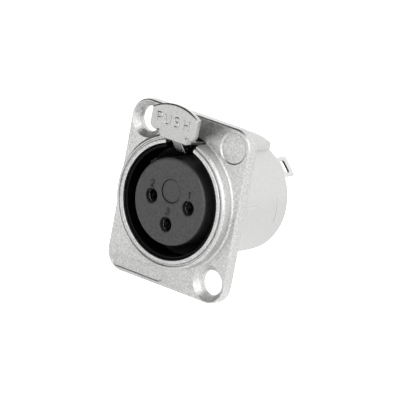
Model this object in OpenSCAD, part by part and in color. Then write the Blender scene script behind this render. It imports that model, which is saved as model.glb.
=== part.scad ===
// Three-pole panel socket with a push-to-release latch, for a round signal plug.
// The plug enters from the front, which faces -Y. The rear face of the flange lies on the panel at y = 0.
// X runs to the right as seen from the front, and Z runs up towards the latch.

/* [Flange] */
// Width of the flange
flange_w = 26; // [25:0.5:34]
// Height of the flange
flange_h = 31; // [30:0.5:40]
// Thickness of the flange
flange_t = 2; // [1.5:0.1:3]
// Diameter of a screw hole
screw_hole_d = 4.5; // [3:0.1:4.6]
// Width of the countersink around a screw hole
countersink = 1; // [0.6:0.1:1.2]
// Metal left between a countersink and the flange's edge
screw_edge = 0.25; // [0.2:0.05:1]
// Rounding of the flange's front edge
edge_round = 0.3; // [0.1:0.05:0.4]
// Diameter of the blind spot in the upper right corner
blind_d = 5.1; // [4:0.1:5.6]
// Depth of the shallow pockets in the flange's front
pocket_depth = 0.2; // [0.1:0.05:0.5]

/* [Collar and body] */
// Wall of the collar around the plug space
collar_wall = 2.25; // [2.1:0.05:2.5]
// Height of the collar in front of the flange
collar_h = 2.4; // [1.8:0.1:3.5]
// Wall of the plastic liner in the mouth
liner_wall = 0.62; // [0.5:0.02:0.8]
// Wall of the body next to the flange
body_wall = 1.1; // [1:0.05:1.5]
// Radius that the body loses towards its rear
body_taper = 0.55; // [0:0.05:0.6]
// Rounding of the body's rear edge
rear_round = 1; // [0.5:0.1:1.2]
// Thickness of the insert's base, behind the plug space
base_t = 2.9; // [2:0.1:5]
// Thickness of the plate behind the insert
rear_t = 1.8; // [1:0.1:3]
// Depth of that plate inside the body's rear edge
rear_recess = 1.2; // [1:0.1:3]

/* [Plug space] */
// Outer diameter of the plug's barrel
plug_d = 18.8; // [17:0.1:20]
// Room around the barrel, on the radius
plug_play = 0.1; // [0.05:0.05:0.15]
// Depth that the barrel goes in, from the collar's front
plug_depth = 15.4; // [14.5:0.1:18]
// Room that the barrel's wall needs around the insert
barrel_wall = 1.75; // [1.6:0.05:1.9]

/* [Contacts] */
// Diameter of the circle that the three contacts stand on
contact_circle_d = 8.1; // [7.8:0.1:8.4]
// Bore of a contact, a push fit on the plug's pin
pin_bore_d = 2.4; // [2:0.1:2.6]
// Depth of that bore
pin_depth = 12; // [10:0.5:14]
// Wall of a contact
contact_wall = 0.4; // [0.3:0.05:0.5]
// Length of the solder cup behind the body
cup_reach = 4.1; // [3.4:0.1:6]

/* [Ground tag] */
// Width of the tag
tag_w = 3.75; // [3:0.05:4]
// Thickness of the tag
tag_t = 0.4; // [0.3:0.05:0.5]
// Length of the tag behind the body
tag_reach = 3.1; // [2.8:0.1:5]
// Angle of the tag from the top, towards the right
tag_angle = 45; // [40:1:60]

/* [Latch] */
// Width of the slot for the latch
slot_w = 7.3; // [7:0.1:8]
// Width of the slot at its narrow foot, over the plug space
throat_w = 6.1; // [5.6:0.1:6.4]
// Width of the push tab
tab_w = 9.9; // [9:0.1:10.6]
// Height of the tab's top above the collar
tab_rise = 5.7; // [4.8:0.05:6]
// Distance of the tab's front from the collar's front
tab_lead = 2.9; // [2.4:0.1:3.5]
// Thickness of the tab
tab_t = 1; // [0.8:0.1:1.2]
// Diameter of the latch pin
pivot_d = 0.9; // [0.7:0.05:1]
// Height of the latch pin above the plug space
pivot_lift = 0.7; // [0.68:0.01:0.74]
// Distance of the latch pin behind the panel
pivot_y = 0.75; // [0.7:0.05:0.9]
// Depth of the hook's tip below the barrel's surface
hook_bite = 0.55; // [0.4:0.05:0.6]

/* [Hidden] */
$fn = 96;
eps = 0.01;
big = 60;

// Colours
nickel = [0.80, 0.80, 0.79];
steel = [0.66, 0.67, 0.68];
silver = [0.86, 0.85, 0.82];
black_plastic = [0.06, 0.06, 0.065];
grey_plastic = [0.27, 0.27, 0.28];

// How far a cut runs past the face that it opens
over = 1;

// Faces along Y
flange_front = -flange_t;
collar_front = flange_front - collar_h;
plug_end = collar_front + plug_depth;
base_end = plug_end + base_t;
rear_end = base_end + rear_t;
body_depth = rear_end + rear_recess;

// Flange corners and screws, on one centre in each corner
screw_inset = screw_hole_d / 2 + countersink + screw_edge;
corner_r = screw_inset;
screw_x = flange_w / 2 - screw_inset;
screw_z = flange_h / 2 - screw_inset;
blind_slope = 0.2;
edge_steps = 3;

// Bore, collar and body
bore_r = plug_d / 2 + plug_play;
collar_r = bore_r + collar_wall;
liner_gap = 0.03;
liner_seat_r = bore_r + liner_wall + liner_gap;
wall_in = 1;
body_front_r = bore_r + body_wall;
body_rear_r = body_front_r - body_taper;

// Rim of the collar: inner ring, groove, lip and a sloping outer edge
ring_w = 0.7;
groove_w = 0.35;
groove_depth = 0.45;
lip_w = 0.22;
lip_drop = 0.06;
rim_slope = 0.3;
rim_chamfer = 0.1;
foot_fillet = 0.35;

// Arcs in the body's wall for the noses of the insert, and the fine line outside each
snap_y = base_end - base_t / 4;
snap_r = bore_r + 0.6 * (body_wall - body_taper);
snap_w = 0.4;
snap_span = 26;
snap_play = 0.06;
snap_short = 1;
snap_sink = 0.05;
snap_line_w = 0.2;

// Channel of the latch over the bore
cutout_play = 0.25;
cutout_r = collar_r + cutout_play;
boss_gap = 0.1;
boss_r = cutout_r - boss_gap;
boss_half_w = 5.2;
boss_end = 9.5;
roof_t = 0.5;
roof_r = boss_r - roof_t;
channel_half_w = 3.3;
channel_wall = 0.5;
channel_end = boss_end - channel_wall;
window_rise = 0.28;
window_r = collar_r + window_rise;
ridge_t = 1.55;
ridge_r = bore_r + ridge_t;
ridge_half_w = 4.1;
ridge_short = 0.5;
ridge_end = body_depth - ridge_short;
shelf_l = 3.6;
shelf_start = boss_end - shelf_l;
shelf_t = 0.5;
shelf_top = bore_r + shelf_t;
throat_t = 0.45;
throat_top = bore_r + throat_t;
throat_flare = 1.1;
slot_foot = throat_top + throat_flare;

// Side pocket: its length, height, depth and place
side_pocket_l = 3.2;
side_pocket_h = 0.85;
side_pocket_t = 0.3;
side_pocket_y = 3.9;
side_pocket_top = 1.35;

// Name field, left plain
field_w = 11.5;
field_h = 2.3;
field_left = 11.7;
field_bottom = 14.9;

// Liner
liner_sink = 0.45;
liner_front = collar_front + liner_sink;
liner_end = 0.2;

// Insert
insert_r = plug_d / 2 - barrel_wall;
insert_round = 0.35;
insert_sink = 0.05;
insert_front = collar_front + insert_sink;
base_gap = 0.05;
base_r = bore_r - base_gap;
key_angle = 42;
key_w = 1.5;
key_h = 0.4;
key_sink = 0.6;
key_start = insert_front + key_sink;
mouth_play = 0.07;
mouth_r = pin_bore_d / 2 + mouth_play;
mouth_depth = 1;
mouth_chamfer = 0.12;
mark_r = 2.1;
mark_z = 1.9;
mark_depth = 0.15;

// Contacts
contact_r = pin_bore_d / 2 + contact_wall;
contact_gap = 0.05;
contact_front = insert_front + mouth_depth + contact_gap;
pin_bore_end = contact_front + pin_depth;
slit_w = 0.3;
slit_len = 7.5;
cup_end = body_depth + cup_reach;
cup_step = 0.25;
cup_r = contact_r - cup_step;
cup_wall = 0.4;
cup_bore_r = cup_r - cup_wall;
cup_depth = 4;
cup_open = 3.2;
cup_floor = 0.25;

// Ground tag
tag_gap = 0.1;
tag_r = sqrt(pow(bore_r - tag_gap, 2) - pow(tag_w / 2, 2));
tag_end = body_depth + tag_reach;
tag_touch = 0.4;
tag_start = plug_end - tag_touch;
tag_hole_l = 2.6;
tag_hole_w = 1.2;
tag_hole_edge = 1.6;
tag_hole_y = tag_end - tag_hole_edge;
tag_corner = 0.3;

// Latch lever: its widths, its heights under the channel's roof, and its places along Y
slot_half = slot_w / 2;
throat_half = throat_w / 2;
neck_half = 2.9;
arm_half = 2.7;
tail_half = 2.3;
hook_half = 1.1;
lever_gap = 0.12;
tail_top = sqrt(pow(roof_r, 2) - pow(tail_half, 2)) - lever_gap;
tail_t = 0.55;
arm_rise = 0.05;
arm_under = 0.3;
neck_bottom = tail_top;
neck_h = 0.7;
neck_top = neck_bottom + neck_h;
tab_lift = 1;
tab_bottom = neck_bottom + tab_lift;
tab_top = collar_r + tab_rise;
tab_front = collar_front - tab_lead;
tab_back = tab_front + tab_t;
tab_arc_r = 9;
tab_round = 0.25;
tab_corner = 1.3;
tab_lean = 0.8;
crease_z = neck_bottom + 2.05;
notch_r = 0.4;
neck_t = 1.3;
neck_back = tab_back + neck_t;
arm_step_sink = 0.2;
arm_step = flange_front + arm_step_sink;
tail_short = 0.5;
tail_end = shelf_start - tail_short;
pivot_z = bore_r + pivot_lift;
pivot_play = 0.05;
pivot_press = 0.01;
pin_sink = 0.3;
hub_wall = 0.3;
hub_r = pivot_d / 2 + hub_wall;
hub_under = 0.1;
ear_w = 0.8;
hook_tip = plug_d / 2 - hook_bite;
hook_lead = 1.3;
hook_front = collar_front - hook_lead;
hook_sink = 0.65;
hook_tip_front = collar_front + hook_sink;
hook_nose = 0.9;
hook_back = hook_tip_front + hook_nose;
hook_root = 0.3;
hook_slope = 0.2;

// Latch spring
spring_t = 0.25;
spring_half = 1.6;
spring_lap = 1.2;
spring_foot = 0.5;
spring_gap = 0.02;
spring_play = 0.1;
spring_end = channel_end - spring_play;

// A flat outline in the XZ plane, thick along Y from y0
module plate(y0, t) {
    translate([0, y0 + t, 0])
        rotate([90, 0, 0])
            linear_extrude(t) children();
}

// A [radius, y] profile turned about the socket's axis
module turned() {
    rotate([-90, 0, 0])
        rotate_extrude() children();
}

// A [y, z] profile, extruded to both sides of the middle plane
module side_cut(half_w) {
    translate([-half_w, 0, 0])
        rotate([90, 0, 90])
            linear_extrude(2 * half_w) children();
}

// A round rod along Y at [x, z]
module rod(x, z, r, y0, y1) {
    translate([x, y0, z])
        rotate([-90, 0, 0])
            cylinder(r = r, h = y1 - y0);
}

// A cone along Y at [x, z], of radius r0 at y0 and r1 at y1
module taper(x, z, r0, r1, y0, y1) {
    translate([x, y0, z])
        rotate([-90, 0, 0])
            cylinder(r1 = r0, r2 = r1, h = y1 - y0);
}

// Turns a piece about the socket's axis, clockwise from the top as seen from the front
module round_to(angle) {
    rotate([0, angle, 0]) children();
}

module rounded_rect(w, h, r) {
    square([w - 2 * r, h], center = true);
    square([w, h - 2 * r], center = true);
    for (sx = [-1, 1], sz = [-1, 1])
        translate([sx * (w / 2 - r), sz * (h / 2 - r)]) circle(r);
}

// The part of a disc that lies over a strip of half width w, above the axis
module crown(r, half_w) {
    intersection() {
        circle(r);
        translate([-half_w, 0]) square([2 * half_w, r + over]);
    }
}

// Points of a quarter round of radius r, convex, from [0, 0] back and out to [r, r]
function quarter(r, steps) =
    [for (i = [0 : steps])
        let (a = 90 * i / steps)
        [r * sin(a), r * (1 - cos(a))]];

// What a rounding takes off a front edge: [distance outwards, y], with the round starting at out
module edge_waste(out, r) {
    polygon(concat(
        [for (p = quarter(r, edge_steps)) [out + p[0], flange_front + p[1]]],
        [[out + r + over, flange_front + r], [out + r + over, flange_front - over],
         [out, flange_front - over]]));
}

// Rounds the flange's front edge: four straight runs and four corners
module edge_rounding() {
    corner_x = flange_w / 2 - corner_r;
    corner_z = flange_h / 2 - corner_r;
    for (side = [0, 180]) {
        rotate([0, side, 0]) translate([0, 0, -corner_z])
            linear_extrude(2 * corner_z) edge_waste(flange_w / 2 - edge_round, edge_round);
        rotate([0, side + 90, 0]) translate([0, 0, -corner_x])
            linear_extrude(2 * corner_x) edge_waste(flange_h / 2 - edge_round, edge_round);
    }
    for (sx = [-1, 1], sz = [-1, 1])
        translate([sx * corner_x, 0, sz * corner_z])
            intersection() {
                turned() edge_waste(corner_r - edge_round, edge_round);
                translate([sx * big / 2, 0, sz * big / 2]) cube(big, center = true);
            }
}

module flange() {
    difference() {
        plate(flange_front, flange_t) rounded_rect(flange_w, flange_h, corner_r);
        edge_rounding();
        blind_spot();
        name_field();
    }
}

// The corner without a screw hole carries a shallow round pocket with a sloping wall
module blind_spot() {
    blind_r = blind_d / 2;
    floor_y = flange_front + pocket_depth;
    taper(screw_x, screw_z, blind_r + blind_slope, blind_r, flange_front - eps, floor_y);
}

module name_field() {
    plate(flange_front - eps, pocket_depth + eps)
        translate([-field_left + field_w / 2, -field_bottom + field_h / 2])
            rounded_rect(field_w, field_h, field_h / 2 - eps);
}

// Rim of the collar: an inner ring, a fine groove, a lip and a sloping outer edge, with a fillet at the foot
module collar_profile() {
    groove_in = liner_seat_r + ring_w;
    lip_in = groove_in + groove_w;
    lip_out = lip_in + lip_w;
    lip_front = collar_front + lip_drop;
    foot = [for (p = quarter(foot_fillet, edge_steps))
        [collar_r + p[1], flange_front - foot_fillet + p[0]]];
    polygon(concat(
        [
            [bore_r - wall_in, flange_front + flange_t / 2],
            [bore_r - wall_in, collar_front],
            [groove_in - rim_chamfer, collar_front],
            [groove_in, collar_front + rim_chamfer],
            [groove_in, collar_front + groove_depth],
            [lip_in, collar_front + groove_depth],
            [lip_in, lip_front],
            [lip_out, lip_front],
            [collar_r, lip_front + rim_slope]
        ],
        foot,
        [[collar_r + foot_fillet, flange_front + flange_t / 2]]));
}

// Body behind the panel, slightly tapered, with a rounded rear edge
module body_profile() {
    edge = [for (p = quarter(rear_round, 2 * edge_steps))
        [body_rear_r - p[1], body_depth - rear_round + p[0]]];
    polygon(concat(
        [[bore_r - wall_in, -flange_t / 2], [body_front_r, -flange_t / 2], [body_front_r, 0]],
        edge,
        [[bore_r - wall_in, body_depth]]));
}

module boss() {
    plate(0, boss_end) crown(boss_r, boss_half_w);
    plate(0, ridge_end) crown(ridge_r, ridge_half_w);
}

// Slot through the collar and flange, which narrows towards the plug space
module latch_slot(y0, y1) {
    plate(y0, y1 - y0)
        intersection() {
            circle(window_r);
            polygon([
                [-throat_half, 0], [throat_half, 0], [throat_half, throat_top], [slot_half, slot_foot],
                [slot_half, big], [-slot_half, big], [-slot_half, slot_foot], [-throat_half, throat_top]
            ]);
        }
}

module latch_space() {
    latch_slot(collar_front - over, 0);
    plate(-eps, shelf_start + eps) crown(roof_r, channel_half_w);
    intersection() {
        plate(-eps, channel_end + eps) crown(roof_r, channel_half_w);
        translate([-big / 2, 0, shelf_top]) cube(big);
    }
}

// Countersunk screw hole: upper left or lower right
module screw_hole(side) {
    hole_r = screw_hole_d / 2;
    x = side * screw_x;
    z = -side * screw_z;
    rod(x, z, hole_r, flange_front - over, over);
    taper(x, z, hole_r + countersink, hole_r, flange_front - eps, flange_front - eps + countersink);
}

// Two arcs about the axis, opposite each other: the insert's noses, or the room for them
module snap_arcs(inner_r, outer_r, w, span) {
    for (side = [0, 180])
        rotate([-90, 0, 0])
            rotate_extrude(angle = span, start = side - span / 2)
                translate([inner_r, snap_y - w / 2]) square([outer_r - inner_r, w]);
}

// Shallow pocket in the body's side, deepest at its top and running out below
module side_pocket() {
    wall_r = body_front_r - side_pocket_y * body_taper / body_depth;
    drop = side_pocket_h * (side_pocket_t + over) / side_pocket_t;
    plate(side_pocket_y, side_pocket_l)
        polygon([
            [wall_r - side_pocket_t, side_pocket_top], [wall_r + over, side_pocket_top],
            [wall_r + over, side_pocket_top - drop]
        ]);
}

module pivot_hole(r) {
    translate([-big / 2, pivot_y, pivot_z])
        rotate([0, 90, 0]) cylinder(r = r, h = big);
}

module housing() {
    color(nickel)
        difference() {
            union() {
                flange();
                turned() collar_profile();
                turned() body_profile();
                boss();
            }
            rod(0, 0, bore_r, collar_front - over, body_depth + over);
            rod(0, 0, liner_seat_r, collar_front - over, liner_end);
            latch_space();
            screw_hole(1);
            screw_hole(-1);
            snap_arcs(bore_r - wall_in, snap_r, snap_w, snap_span);
            snap_arcs(body_rear_r, body_front_r + over, snap_line_w, snap_span);
            side_pocket();
            pivot_hole(pivot_d / 2 + pivot_press);
        }
}

// Plastic ring in the mouth, cut away where the latch passes
module bore_liner() {
    color(black_plastic)
        difference() {
            rod(0, 0, liner_seat_r - liner_gap, liner_front, liner_end);
            rod(0, 0, bore_r, liner_front - over, liner_end + over);
            latch_slot(collar_front - over, liner_end + over);
        }
}

function contact_place(i) =
    let (a = [180, 0, -90][i])
    [contact_circle_d / 2 * cos(a), contact_circle_d / 2 * sin(a)];

module insert_body() {
    edge = [for (p = quarter(insert_round, edge_steps))
        [insert_r - insert_round + p[0], insert_front + p[1]]];
    turned()
        polygon(concat(
            [[0, insert_front]],
            edge,
            [[insert_r, plug_end], [base_r, plug_end], [base_r, base_end], [0, base_end]]));
}

// Rib that lets the plug in one way round only
module key_rib() {
    round_to(-key_angle)
        translate([-key_w / 2, key_start, insert_r - over])
            cube([key_w, plug_end - key_start + eps, key_h + over]);
}

module contact_cavity(i) {
    x = contact_place(i)[0];
    z = contact_place(i)[1];
    rod(x, z, mouth_r, insert_front - over, base_end);
    taper(x, z, mouth_r + mouth_chamfer, mouth_r, insert_front - eps, insert_front - eps + mouth_chamfer);
    rod(x, z, contact_r + contact_gap, insert_front + mouth_depth, base_end + over);
}

module tag_slot(y0, y1) {
    round_to(tag_angle)
        translate([-tag_w / 2 - tag_gap, y0, tag_r - tag_t - tag_gap])
            cube([tag_w + 2 * tag_gap, y1 - y0, big]);
}

module contact_insert() {
    color(grey_plastic)
        difference() {
            union() {
                insert_body();
                key_rib();
                snap_arcs(bore_r - wall_in, snap_r - snap_sink, snap_w - snap_play, snap_span - snap_short);
            }
            for (i = [0 : 2]) contact_cavity(i);
            rod(0, mark_z, mark_r, insert_front - over, insert_front + mark_depth);
            tag_slot(plug_end - over, base_end + over);
        }
}

// Plate behind the insert that holds the contacts in
module rear_insert() {
    color(black_plastic)
        difference() {
            rod(0, 0, base_r, base_end, rear_end);
            for (i = [0 : 2])
                rod(contact_place(i)[0], contact_place(i)[1], cup_r + contact_gap, base_end - over, rear_end + over);
            tag_slot(base_end - over, rear_end + over);
        }
}

// Socket contact: a slit sleeve in front and an open cup for the wire behind
module contact(i) {
    p = contact_place(i);
    color(silver)
        translate([p[0], 0, p[1]])
            difference() {
                union() {
                    rod(0, 0, contact_r, contact_front, base_end);
                    rod(0, 0, cup_r, base_end, cup_end);
                }
                rod(0, 0, pin_bore_d / 2, contact_front - over, pin_bore_end);
                rod(0, 0, cup_bore_r, cup_end - cup_depth, cup_end + over);
                translate([-slit_w / 2, contact_front - over, -contact_r - over])
                    cube([slit_w, slit_len + over, 2 * (contact_r + over)]);
                translate([-cup_r - over, cup_end - cup_open, cup_floor])
                    cube([2 * (cup_r + over), cup_open + over, cup_r + over]);
            }
}

module contact_1() {
    contact(0);
}

module contact_2() {
    contact(1);
}

module contact_3() {
    contact(2);
}

// Flat tag with a wire slot, which also meets the barrel's front edge
module ground_tag() {
    color(silver)
        round_to(tag_angle)
            translate([0, 0, tag_r - tag_t])
                linear_extrude(tag_t)
                    difference() {
                        translate([0, (tag_start + tag_end) / 2])
                            rounded_rect(tag_w, tag_end - tag_start, tag_corner);
                        for (s = [-1, 1])
                            translate([s * (tag_hole_l - tag_hole_w) / 2, tag_hole_y]) circle(d = tag_hole_w);
                        translate([0, tag_hole_y])
                            square([tag_hole_l - tag_hole_w, tag_hole_w], center = true);
                    }
}

// Push tab as seen from the front: round below, with a neck and two relief notches beside it
module tab_outline() {
    difference() {
        union() {
            translate([0, (tab_bottom + tab_top + tab_corner) / 2])
                rounded_rect(tab_w, tab_top - tab_bottom + tab_corner, tab_corner);
            translate([-neck_half, neck_bottom])
                square([2 * neck_half, tab_bottom + tab_corner - neck_bottom]);
        }
        for (s = [-1, 1])
            translate([s * (neck_half + notch_r / 2), tab_bottom]) circle(notch_r);
    }
}

// Its arched top, with a rounded front edge
module tab_arch() {
    edge = [for (p = quarter(tab_round, edge_steps)) [tab_arc_r - tab_round + p[0], tab_front + p[1]]];
    translate([0, 0, tab_top - tab_arc_r])
        turned() polygon(concat([[0, tab_front]], edge, [[tab_arc_r, neck_back], [0, neck_back]]));
}

// Its two sides, with rounded front edges
module tab_sides() {
    half = tab_w / 2;
    edge = [for (p = quarter(tab_round, edge_steps)) [half - tab_round + p[0], tab_front + p[1]]];
    for (side = [0, 1])
        mirror([side, 0, 0])
            linear_extrude(2 * tab_top)
                polygon(concat([[-over, tab_front]], edge, [[half, neck_back], [-over, neck_back]]));
}

// Seen from the side it is flat above the crease, and below it leans back to the neck
module tab() {
    intersection() {
        plate(tab_front - over, neck_back - tab_front + 2 * over) tab_outline();
        tab_arch();
        tab_sides();
        side_cut(tab_w)
            polygon([
                [tab_front, tab_top + over], [tab_front, crease_z], [tab_front + tab_lean, neck_bottom],
                [neck_back, neck_bottom], [neck_back, neck_top], [tab_back, tab_bottom + notch_r],
                [tab_back, tab_top + over]
            ]);
    }
}

// The arm goes through the window over the pin, and its tail lies under the channel's roof
module latch_arm() {
    hub_end = pivot_y + hub_r;
    side_cut(arm_half)
        polygon([
            [neck_back - eps, neck_bottom], [neck_back - eps, neck_top],
            [arm_step, tail_top + arm_rise], [arm_step, pivot_z + arm_under]
        ]);
    side_cut(tail_half)
        polygon([
            [arm_step - eps, pivot_z + arm_under], [arm_step - eps, tail_top + arm_rise],
            [0, tail_top - arm_rise], [hub_end, tail_top - arm_rise], [tail_end, tail_top],
            [tail_end, tail_top - tail_t], [hub_end, tail_top - tail_t], [0, pivot_z + hub_under]
        ]);
}

module latch_hook() {
    side_cut(hook_half)
        polygon([
            [hook_front, neck_bottom], [hook_tip_front, hook_tip], [hook_back, hook_tip],
            [hook_back + hook_slope, tail_top], [neck_back, neck_bottom + hook_root]
        ]);
}

module hub_ear(side) {
    translate([side * (tail_half - ear_w / 2) - ear_w / 2, pivot_y, pivot_z])
        rotate([0, 90, 0]) cylinder(r = hub_r, h = ear_w);
}

// Push tab, arm and hook are one casting that rocks on the latch pin
module latch_lever() {
    color(nickel)
        difference() {
            union() {
                tab();
                latch_arm();
                latch_hook();
                hub_ear(1);
                hub_ear(-1);
            }
            pivot_hole(pivot_d / 2 + pivot_play);
        }
}

module latch_pin() {
    pin_half = boss_half_w - pin_sink;
    color(steel)
        translate([-pin_half, pivot_y, pivot_z])
            rotate([0, 90, 0]) cylinder(d = pivot_d, h = 2 * pin_half);
}

// Leaf spring on the shelf, which lifts the lever's tail
module latch_spring() {
    spring_bend = shelf_start + spring_foot;
    spring_tip = tail_end - spring_lap;
    tip_top = tail_top - tail_t - spring_gap;
    color(steel)
        side_cut(spring_half)
            polygon([
                [spring_end, shelf_top], [spring_end, shelf_top + spring_t],
                [spring_bend, shelf_top + spring_t], [spring_tip, tip_top],
                [spring_tip, tip_top - spring_t], [spring_bend, shelf_top]
            ]);
}

housing();
bore_liner();
contact_insert();
rear_insert();
contact_1();
contact_2();
contact_3();
ground_tag();
latch_lever();
latch_pin();
latch_spring();
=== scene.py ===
# %% [markdown]
# # A three-pole panel socket
# A nickel-plated zinc casting holds a dark plastic insert with three silvered contacts, and a push tab
# on top lets the plug go again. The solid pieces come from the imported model, so this lesson is about
# what a camera sees on them: cast metal, moulded plastic, small lettering, and the light that shows them.

# %% Load the frame
import math

import bmesh
import bpy
from mathutils import Matrix, Vector


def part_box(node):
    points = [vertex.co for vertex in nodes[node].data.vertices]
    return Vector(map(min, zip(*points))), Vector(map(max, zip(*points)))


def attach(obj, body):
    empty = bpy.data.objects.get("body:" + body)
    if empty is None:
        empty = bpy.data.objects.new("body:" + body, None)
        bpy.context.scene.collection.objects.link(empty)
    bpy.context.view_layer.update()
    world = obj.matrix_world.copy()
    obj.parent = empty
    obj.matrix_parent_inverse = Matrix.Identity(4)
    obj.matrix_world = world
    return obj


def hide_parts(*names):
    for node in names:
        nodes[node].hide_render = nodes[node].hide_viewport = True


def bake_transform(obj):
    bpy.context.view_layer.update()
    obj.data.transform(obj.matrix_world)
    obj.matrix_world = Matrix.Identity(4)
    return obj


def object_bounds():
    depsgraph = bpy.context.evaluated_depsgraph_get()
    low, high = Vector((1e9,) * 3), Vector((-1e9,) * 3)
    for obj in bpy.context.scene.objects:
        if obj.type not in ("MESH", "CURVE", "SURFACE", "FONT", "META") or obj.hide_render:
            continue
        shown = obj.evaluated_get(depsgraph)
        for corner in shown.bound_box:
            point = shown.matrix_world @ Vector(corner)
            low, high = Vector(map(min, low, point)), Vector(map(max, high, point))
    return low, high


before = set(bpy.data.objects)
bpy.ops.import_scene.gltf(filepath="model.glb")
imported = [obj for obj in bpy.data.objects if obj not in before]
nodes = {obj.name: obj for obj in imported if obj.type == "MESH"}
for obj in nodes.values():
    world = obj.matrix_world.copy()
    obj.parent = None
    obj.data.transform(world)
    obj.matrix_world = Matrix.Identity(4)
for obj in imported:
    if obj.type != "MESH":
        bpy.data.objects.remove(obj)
cad_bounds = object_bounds()
MM = 0.001
print("pieces from the model:", ", ".join(sorted(nodes)))

# %% [markdown]
# ## The camera
# The picture was taken from the right of the socket and a little above it, with a long lens, and the
# socket lies rolled in the frame. Azimuth, elevation and roll turn the camera, and the distance and the
# two offsets put the socket where it is in the picture. A matrix built from the three view directions
# says all of it at once, with no Euler angles to get wrong.

# %% The camera
AZIMUTH = math.radians(35.782)
ELEVATION = math.radians(13.436)
ROLL = math.radians(10.526)
OFFSET_RIGHT = -2.790 * MM
OFFSET_UP = 0.206 * MM
DISTANCE = 678.684 * MM
FIELD_OF_VIEW = math.radians(5.8414)

towards = Vector((
    math.sin(AZIMUTH) * math.cos(ELEVATION),
    -math.cos(AZIMUTH) * math.cos(ELEVATION),
    math.sin(ELEVATION),
))
level_right = Vector((math.cos(AZIMUTH), math.sin(AZIMUTH), 0))
level_up = towards.cross(level_right)
right = level_right * math.cos(ROLL) + level_up * math.sin(ROLL)
up = level_up * math.cos(ROLL) - level_right * math.sin(ROLL)
place = towards * DISTANCE - right * OFFSET_RIGHT - up * OFFSET_UP

camera_data = bpy.data.cameras.new("camera")
camera_data.sensor_fit = "HORIZONTAL"
camera_data.angle = FIELD_OF_VIEW
camera_data.clip_end = 10
camera = bpy.data.objects.new("camera", camera_data)
camera.matrix_world = Matrix((
    (right.x, up.x, towards.x, place.x),
    (right.y, up.y, towards.y, place.y),
    (right.z, up.z, towards.z, place.z),
    (0, 0, 0, 1),
))
bpy.context.scene.collection.objects.link(camera)
bpy.context.scene.camera = camera
print("the camera stands", round(place.length / MM), "mm from the socket")

# %% [markdown]
# ## Helpers
# Colours are written as sRGB hex values, as a colour picker shows them, but shaders work in linear
# light, so one function turns them. Another adds a node to a tree, sets what the node itself offers,
# and fills its inputs with numbers or with the outputs of other nodes. Three short ones on top of it
# save writing out the kinds of node that come back most: a change of range, a sum, and a mix of colours.

# %% Helpers
def linear(hex_colour):
    """sRGB hex, such as "C8C8C6", to linear RGBA."""
    parts = [int(hex_colour[i:i + 2], 16) / 255 for i in (0, 2, 4)]
    return [c / 12.92 if c <= 0.04045 else ((c + 0.055) / 1.055) ** 2.4 for c in parts] + [1]


def add(tree, kind, inputs=None, **settings):
    """Adds a node to the tree. settings are the node's own, inputs are values or other nodes' outputs."""
    node = tree.nodes.new(kind)
    for name, value in settings.items():
        setattr(node, name, value)
    for name, value in (inputs or {}).items():
        if isinstance(value, bpy.types.NodeSocket):
            tree.links.new(value, node.inputs[name])
        else:
            node.inputs[name].default_value = value
    return node


def remap(tree, value, from_min, from_max, to_min=0.0, to_max=1.0):
    """Stretches one span of values to another, and holds its ends."""
    return add(tree, "ShaderNodeMapRange", {
        "Value": value, "From Min": from_min, "From Max": from_max, "To Min": to_min, "To Max": to_max,
    }).outputs["Result"]


def compute(tree, operation, first, second):
    """One step of arithmetic on two values."""
    return add(tree, "ShaderNodeMath", {0: first, 1: second}, operation=operation).outputs["Value"]


def mix_colours(tree, factor, first, second):
    """The first colour where the factor is 0, the second where it is 1."""
    return add(tree, "ShaderNodeMix", {
        "Factor": factor, "A": first, "B": second,
    }, data_type="RGBA").outputs["Result"]


def new_material(name):
    """An empty material: its tree, and the output node that waits for a surface."""
    material = bpy.data.materials.new(name)
    material.use_nodes = True
    material.node_tree.nodes.clear()
    return material, material.node_tree, add(material.node_tree, "ShaderNodeOutputMaterial")


def finish_piece(name, material):
    """Gives a CAD piece its finish."""
    nodes[name].data.materials.clear()
    nodes[name].data.materials.append(material)


print("mid grey 808080 is", round(linear("808080")[0], 3), "in linear light")

# %% [markdown]
# ## Nickel plate on a zinc casting
# The flange, collar, body and push tab are zinc die castings, tumbled to take the flash off and then
# nickel plated. Tumbling leaves a fine pebbly grain of a few tenths of a millimetre, which the thin
# plate keeps: the metal shines, but softly, and its brightness flickers from grain to grain. Two
# noises make that, a coarse one for the tumbled waves and a fine one for the grit. Both feed one bump,
# and the grit also sets the colour and the roughness. Behind the panel the grains differ less in
# colour: their contrast fades from a millimetre before the panel's face to a millimetre behind it.
# The lever and the letters on it are smoother, so they have finishes of their own. Edges are never
# sharp on a tumbled part, so a Bevel node rounds them in the shading.

# %% Nickel plated casting
WAVES_MM = 1.6
GRAIN_MM = 0.24
NOISE_CORE = (0.36, 0.64)
NOISE_SPAN = (0.3, 0.7)
PANEL_FADE = (-1 * MM, 1 * MM)
REAR_DARKEST = 0.34
REAR_LIGHTEST = 0.66


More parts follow.
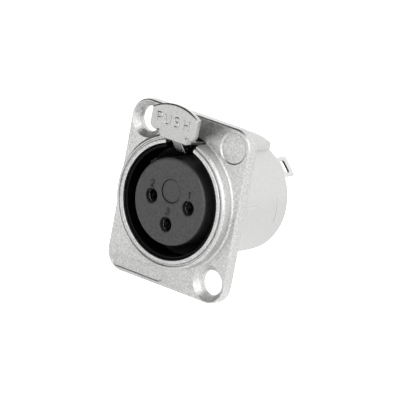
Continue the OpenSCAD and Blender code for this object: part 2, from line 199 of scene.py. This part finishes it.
def nickel_plate(name, colours, grain_depth_mm, low_roughness, high_roughness, edge_mm):
    """colours holds the darkest and the lightest grain."""
    material, tree, out = new_material(name)
    place = add(tree, "ShaderNodeTexCoord").outputs["Object"]
    waves = add(tree, "ShaderNodeTexNoise", {
        "Vector": place, "Scale": 1 / (WAVES_MM * MM), "Detail": 2.0, "Roughness": 0.5,
    }).outputs["Fac"]
    grit = add(tree, "ShaderNodeTexNoise", {
        "Vector": place, "Scale": 1 / (GRAIN_MM * MM), "Detail": 3.0, "Roughness": 0.6,
    }).outputs["Fac"]
    depth = add(tree, "ShaderNodeSeparateXYZ", {"Vector": place}).outputs["Y"]
    darkest = remap(tree, depth, *PANEL_FADE, 0.0, REAR_DARKEST)
    lightest = remap(tree, depth, *PANEL_FADE, 1.0, REAR_LIGHTEST)
    grains = remap(tree, grit, *NOISE_CORE, darkest, lightest)
    colour = mix_colours(tree, grains, linear(colours[0]), linear(colours[1]))
    roughness = remap(tree, grit, *NOISE_SPAN, low_roughness, high_roughness)
    rounded = add(tree, "ShaderNodeBevel", {"Radius": edge_mm * MM}, samples=8)
    bump = add(tree, "ShaderNodeBump", {
        "Height": compute(tree, "ADD", waves, grit), "Distance": grain_depth_mm * MM, "Strength": 1.0,
        "Normal": rounded.outputs["Normal"],
    })
    shader = add(tree, "ShaderNodeBsdfPrincipled", {
        "Base Color": colour, "Metallic": 1.0, "Roughness": roughness, "Normal": bump.outputs["Normal"],
    })
    tree.links.new(shader.outputs["BSDF"], out.inputs["Surface"])
    return material


nickel = nickel_plate(
    "nickel_plated_zinc", ("B4B4B3", "DEDEDD"),
    grain_depth_mm=0.012, low_roughness=0.32, high_roughness=0.44, edge_mm=0.20)
handled_nickel = nickel_plate(
    "nickel_plated_lever", ("B4B4B3", "C6C6C5"),
    grain_depth_mm=0.008, low_roughness=0.18, high_roughness=0.28, edge_mm=0.30)
letter_nickel = nickel_plate(
    "nickel_plated_letters", ("B4B4B3", "C6C6C5"),
    grain_depth_mm=0.004, low_roughness=0.14, high_roughness=0.22, edge_mm=0.02)
finish_piece("housing", nickel)
finish_piece("latch_lever", handled_nickel)
print("nickel plate on", [n for n in nodes if nodes[n].data.materials[0] in (nickel, handled_nickel)])

# %% [markdown]
# ## Moulded plastics
# The insert is a glass-filled nylon in dark grey: matte, with a trace of the mould's spark-eroded
# texture and of the fibres in it. The liner and the plate at the back are black and a little glossier,
# because their moulds were polished. One function makes both, from two shades, a roughness and the
# depth of the texture. Little light comes back out of a narrow gap in dark plastic, so an Ambient
# Occlusion node finds the deep places and shade is painted into them: the colour goes to near black
# and the gloss to nothing.

# %% Moulded plastic
NYLON_IOR = 1.53
GAP_REACH = 2.0 * MM
GAP_OPENNESS = (0.70, 0.92)
# Near black: the colour of the shade painted into deep places.
PAINTED_GAP_SHADE = "050505"


def moulded_plastic(name, colours, roughness, shine, texture_mm, depth_mm, edge_mm):
    """colours holds the darker and the lighter shade, shine is the specular level in the open."""
    material, tree, out = new_material(name)
    place = add(tree, "ShaderNodeTexCoord").outputs["Object"]
    texture = add(tree, "ShaderNodeTexNoise", {
        "Vector": place, "Scale": 1 / (texture_mm * MM), "Detail": 2.0, "Roughness": 0.55,
    }).outputs["Fac"]
    fibres = remap(tree, texture, *NOISE_CORE)
    shade = mix_colours(tree, fibres, linear(colours[0]), linear(colours[1]))
    rounded = add(tree, "ShaderNodeBevel", {"Radius": edge_mm * MM}, samples=8)
    bump = add(tree, "ShaderNodeBump", {
        "Height": texture, "Distance": depth_mm * MM, "Strength": 1.0,
        "Normal": rounded.outputs["Normal"],
    })
    # Painted shade: where ambient occlusion finds a deep place, the colour goes to near black and the gloss
    # fades.
    around = add(tree, "ShaderNodeAmbientOcclusion", {"Distance": GAP_REACH}, samples=8)
    openness = remap(tree, around.outputs["AO"], *GAP_OPENNESS)
    shader = add(tree, "ShaderNodeBsdfPrincipled", {
        "Base Color": mix_colours(tree, openness, linear(PAINTED_GAP_SHADE), shade),
        "Roughness": roughness, "IOR": NYLON_IOR,
        "Specular IOR Level": compute(tree, "MULTIPLY", openness, shine),
        "Normal": bump.outputs["Normal"],
    })
    tree.links.new(shader.outputs["BSDF"], out.inputs["Surface"])
    return material


grey_nylon = moulded_plastic(
    "glass_filled_nylon", ("333334", "444445"),
    roughness=0.42, shine=0.5, texture_mm=0.3, depth_mm=0.010, edge_mm=0.50)
black_nylon = moulded_plastic(
    "black_nylon", ("050506", "080809"),
    roughness=0.3, shine=0.12, texture_mm=0.5, depth_mm=0.002, edge_mm=0.08)
finish_piece("contact_insert", grey_nylon)
finish_piece("bore_liner", black_nylon)
finish_piece("rear_insert", black_nylon)
print("plastics:", grey_nylon.name, black_nylon.name)

# %% [markdown]
# ## Turned and stamped metal
# The contacts are turned brass with a silver plate, the ground tag is stamped and tinned, and the pin
# and leaf spring are plain steel. All are smooth, so a faint noise in the roughness is all they need.

# %% Turned and stamped metal
HANDLING_MM = 0.8
ROUGHNESS_SPREAD = 0.06
SMOOTH_EDGE = 0.05 * MM


def smooth_metal(name, colour, roughness):
    material, tree, out = new_material(name)
    place = add(tree, "ShaderNodeTexCoord").outputs["Object"]
    handling = add(tree, "ShaderNodeTexNoise", {
        "Vector": place, "Scale": 1 / (HANDLING_MM * MM), "Detail": 3.0,
    }).outputs["Fac"]
    worn = remap(tree, handling, *NOISE_SPAN, roughness - ROUGHNESS_SPREAD, roughness + ROUGHNESS_SPREAD)
    rounded = add(tree, "ShaderNodeBevel", {"Radius": SMOOTH_EDGE}, samples=4)
    shader = add(tree, "ShaderNodeBsdfPrincipled", {
        "Base Color": linear(colour), "Metallic": 1.0, "Roughness": worn,
        "Normal": rounded.outputs["Normal"],
    })
    tree.links.new(shader.outputs["BSDF"], out.inputs["Surface"])
    return material


silver = smooth_metal("silver_plated_brass", "C9C9C8", 0.25)
tin = smooth_metal("tinned_brass", "D2D2D1", 0.32)
steel = smooth_metal("spring_steel", "A9ABAE", 0.28)
for name in ("contact_1", "contact_2", "contact_3"):
    finish_piece(name, silver)
finish_piece("ground_tag", tin)
finish_piece("latch_pin", steel)
finish_piece("latch_spring", steel)
print("metals:", silver.name, tin.name, steel.name)

# %% [markdown]
# ## A leaf in short steps
# Pressing the tab pushes the lever's tail down on a thin leaf of spring steel, out of sight in the
# casting. A rigid leaf would let the tail pass through it. So a copy stands for the solid one, cut into
# short steps along its length.

# %% The leaf spring
LEAF_STEP = 0.1 * MM
LEAF_FOOT = 6.5 * MM
LEAF_TIP = 5.2 * MM

leaf = bpy.data.objects.new("bending_leaf", nodes["latch_spring"].data.copy())
bpy.context.scene.collection.objects.link(leaf)
cuts = bmesh.new()
cuts.from_mesh(leaf.data)
for step in range(1, round((LEAF_FOOT - LEAF_TIP) / LEAF_STEP)):
    bmesh.ops.bisect_plane(
        cuts, geom=cuts.verts[:] + cuts.edges[:] + cuts.faces[:],
        plane_co=(0, LEAF_TIP + step * LEAF_STEP, 0), plane_no=(0, 1, 0))
cuts.to_mesh(leaf.data)
cuts.free()
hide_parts("latch_spring")
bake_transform(leaf)
print("the leaf has", len(leaf.data.vertices), "points")

# %% [markdown]
# ## Raised lettering
# The tab carries a plain word and the insert carries the pin numbers, so that nobody has to count. On a
# casting such letters are cut into the mould with a round-nosed cutter, so they stand up from the face
# as round strokes. A font would give flat letters with sharp edges. Here each letter is a few lines in
# a box one unit high. A Geometry Nodes tree turns lines into curves and runs a round section along
# them, so every letter follows from its lines and one radius, and half of each stroke is sunk in the face.

# %% Lines of the letters
def arc(centre_x, centre_z, radius_x, radius_z, start, stop, steps=10):
    """Points of an elliptical arc, angles in degrees, anticlockwise from the right."""
    turns = [math.radians(start + (stop - start) * i / steps) for i in range(steps + 1)]
    return [(centre_x + radius_x * math.cos(t), centre_z + radius_z * math.sin(t)) for t in turns]


LINES = {
    "P": [[(0, 0), (0, 1), (0.42, 1)] + arc(0.42, 0.74, 0.28, 0.26, 80, -90) + [(0, 0.48)]],
    "U": [[(0, 1)] + arc(0.36, 0.34, 0.36, 0.34, 180, 360) + [(0.72, 1)]],
    "S": [arc(0.36, 0.755, 0.34, 0.245, 25, 270) + arc(0.36, 0.255, 0.36, 0.255, 80, -155)],
    "H": [[(0, 0), (0, 1)], [(0.72, 0), (0.72, 1)], [(0, 0.5), (0.72, 0.5)]],
    "1": [[(0.1, 0.78), (0.36, 1), (0.36, 0)]],
    "2": [arc(0.34, 0.7, 0.3, 0.3, 170, -30) + [(0.04, 0), (0.66, 0)]],
    "3": [arc(0.32, 0.74, 0.28, 0.26, 150, -80) + arc(0.32, 0.26, 0.31, 0.26, 90, -150)],
}
print("letters drawn:", " ".join(sorted(LINES)))


# %% A tree that runs a round section along lines
def stroke_tree():
    tree = bpy.data.node_groups.new("round_strokes", "GeometryNodeTree")
    for name, way, kind in (
        ("Lines", "INPUT", "NodeSocketGeometry"), ("Stroke radius", "INPUT", "NodeSocketFloat"),
        ("Material", "INPUT", "NodeSocketMaterial"), ("Letters", "OUTPUT", "NodeSocketGeometry"),
    ):
        tree.interface.new_socket(name, in_out=way, socket_type=kind)
    given = add(tree, "NodeGroupInput").outputs
    paths = add(tree, "GeometryNodeMeshToCurve", {"Mesh": given["Lines"]})
    section = add(tree, "GeometryNodeCurvePrimitiveCircle", {
        "Resolution": 12, "Radius": given["Stroke radius"]}, mode="RADIUS")
    tubes = add(tree, "GeometryNodeCurveToMesh", {
        "Curve": paths.outputs["Curve"], "Profile Curve": section.outputs["Curve"], "Fill Caps": True})
    smooth = add(tree, "GeometryNodeSetShadeSmooth", {"Geometry": tubes.outputs["Mesh"]})
    real = add(tree, "GeometryNodeRealizeInstances", {"Geometry": smooth.outputs["Geometry"]})
    coated = add(tree, "GeometryNodeSetMaterial", {
        "Geometry": real.outputs["Geometry"], "Material": given["Material"]})
    add(tree, "NodeGroupOutput", {"Letters": coated.outputs["Geometry"]})
    return tree


strokes = stroke_tree()
print("the tree has", len(strokes.nodes), "nodes")


# %% A helper that raises letters from a face
def raised_letters(name, placed, face_y, height, width, radius, body, material):
    """placed holds (letter, left X, foot Z) in mm, on a face that looks to -Y at face_y."""
    points, edges = [], []
    for letter, left, foot in placed:
        for line in LINES[letter]:
            first = len(points)
            points += [((left + x * width) * MM, face_y * MM, (foot + z * height) * MM) for x, z in line]
            edges += [(i, i + 1) for i in range(first, len(points) - 1)]
    drawing = bpy.data.meshes.new(name)
    drawing.from_pydata(points, edges, [])
    piece = bpy.data.objects.new(name, drawing)
    bpy.context.scene.collection.objects.link(piece)
    modifier = piece.modifiers.new("strokes", "NODES")
    modifier.node_group = strokes
    values = {"Stroke radius": radius * MM, "Material": material}
    for socket in strokes.interface.items_tree:
        if socket.name in values:
            modifier[socket.identifier] = values[socket.name]
    solid = piece.evaluated_get(bpy.context.evaluated_depsgraph_get())
    mesh = bpy.data.meshes.new_from_object(solid)
    piece.modifiers.clear()
    piece.data = mesh
    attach(piece, body)
    print(name, "has", len(mesh.polygons), "faces in", mesh.materials[0].name)


# %% The word on the tab and the pin numbers
TAB_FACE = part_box("latch_lever")[0].y / MM
INSERT_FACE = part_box("contact_insert")[0].y / MM
WORD_FOOT = 13.65
WORD_LEFTS = (("P", -3.58), ("U", -1.82), ("S", 0.15), ("H", 2.25))
raised_letters(
    "tab_word", [(letter, left, WORD_FOOT) for letter, left in WORD_LEFTS],
    TAB_FACE, height=1.65, width=1.45, radius=0.17,
    body="latch", material=letter_nickel)
raised_letters(
    "pin_numbers", [("1", 3.60, 1.70), ("2", -4.62, 1.60), ("3", -0.36, -2.30)],
    INSERT_FACE, height=1.15, width=1.10, radius=0.10,
    body="socket", material=grey_nylon)

# %% [markdown]
# ## Floor, backdrop and light
# The socket stands on white paper in a soft tent of light. The paper has a glow of its own, on top of
# the light that falls on it. A camera ray gets the most of it, a reflection gets less, and diffuse
# light gets none. At this strength the paper is pure white all over, so the socket's shadow doesn't
# show on it. About half the glow would let a faint shadow through.
#
# The camera sees a white room. Every other ray meets one that is a little brighter behind the socket
# than before it, with a bright box at the right front for the slopes of the screw holes, and a dark
# corner up at the left. A plated part shows such a dark place as a thin line along its edges.

# %% Floor
FLOOR_SIZE = 3.0
GLOW_TO_CAMERA = 0.72
GLOW_IN_REFLECTIONS = 0.44

floor_mesh = bpy.data.meshes.new("floor")
half = FLOOR_SIZE / 2
ground = cad_bounds[0].z
floor_mesh.from_pydata(
    [(-half, -half, ground), (half, -half, ground), (half, half, ground), (-half, half, ground)],
    [], [(0, 1, 2, 3)])
floor = bpy.data.objects.new("floor", floor_mesh)
bpy.context.scene.collection.objects.link(floor)

paper, tree, out = new_material("white_paper")
paths = add(tree, "ShaderNodeLightPath").outputs
level = remap(tree, paths["Is Camera Ray"], 0.0, 1.0, GLOW_IN_REFLECTIONS, GLOW_TO_CAMERA)
glow = add(tree, "ShaderNodeEmission", {"Color": (1, 1, 1, 1), "Strength": level})
nothing = add(tree, "ShaderNodeBsdfTransparent", {"Color": (0, 0, 0, 1)})
own = add(tree, "ShaderNodeMixShader", {
    "Fac": compute(tree, "MAXIMUM", paths["Is Camera Ray"], paths["Is Glossy Ray"]),
    1: nothing.outputs["BSDF"], 2: glow.outputs["Emission"],
})
lit = add(tree, "ShaderNodeBsdfDiffuse", {"Color": linear("F4F4F4")})
both = add(tree, "ShaderNodeAddShader", {0: lit.outputs["BSDF"], 1: own.outputs["Shader"]})
tree.links.new(both.outputs["Shader"], out.inputs["Surface"])
floor_mesh.materials.append(paper)
print("the floor lies at", round(ground / MM, 2), "mm")

# %% World
FRONT_STRENGTH = 1.2
BACK_STRENGTH = 1.25
BOX_DIRECTION = (0.76, -0.61, 0.20)
BOX_STRENGTH = 1.5
CORNER_DIRECTION = (-0.72, -0.10, 0.69)
CORNER_STRENGTH = 0.04

world = bpy.data.worlds.new("studio")
bpy.context.scene.world = world
world.use_nodes = True
tree = world.node_tree
tree.nodes.clear()
out = add(tree, "ShaderNodeOutputWorld")
paths = add(tree, "ShaderNodeLightPath").outputs
direction = add(tree, "ShaderNodeTexCoord").outputs["Generated"]


def nearness(aim):
    """1 where a ray goes along aim, less the further it turns away."""
    return add(tree, "ShaderNodeVectorMath", {0: direction, 1: aim}, operation="DOT_PRODUCT").outputs["Value"]


axes = add(tree, "ShaderNodeSeparateXYZ", {"Vector": direction}).outputs
behind = remap(tree, axes["Y"], -0.2, 0.6, FRONT_STRENGTH, BACK_STRENGTH)
beside = remap(tree, nearness(BOX_DIRECTION), 0.5, 0.8, 1.0, BOX_STRENGTH)
corner = remap(tree, nearness(CORNER_DIRECTION), 0.50, 0.60, 1.0, CORNER_STRENGTH)
strength = compute(tree, "MULTIPLY", compute(tree, "MULTIPLY", behind, beside), corner)
room = add(tree, "ShaderNodeBackground", {"Color": (1, 1, 1, 1), "Strength": strength})
white = add(tree, "ShaderNodeBackground", {"Color": (1, 1, 1, 1), "Strength": 1.0})
shown = add(tree, "ShaderNodeMixShader", {
    "Fac": paths["Is Camera Ray"], 1: room.outputs["Background"], 2: white.outputs["Background"]})
tree.links.new(shown.outputs["Shader"], out.inputs["Surface"])
print("the room is white, with a bright box at the right front and a dark corner up at the left")

# %% Lamps
def soft_box(name, position, size, watts):
    """A square area lamp at position, turned to face the socket."""
    lamp = bpy.data.lights.new(name, "AREA")
    lamp.shape = "SQUARE"
    lamp.size = size
    lamp.energy = watts
    stand = bpy.data.objects.new(name, lamp)
    stand.location = position
    stand.rotation_euler = Vector(position).to_track_quat("Z", "Y").to_euler()
    bpy.context.scene.collection.objects.link(stand)
    return stand


key = soft_box("key_box", (0.35, -0.90, 0.25), size=0.5, watts=1.0)
fill = soft_box("fill_box", (-0.50, 0.75, 0.35), size=0.5, watts=0.6)
print("lamps:", key.name, fill.name)

# %% Picture settings and the sizes
bpy.context.scene.view_settings.view_transform = "Standard"
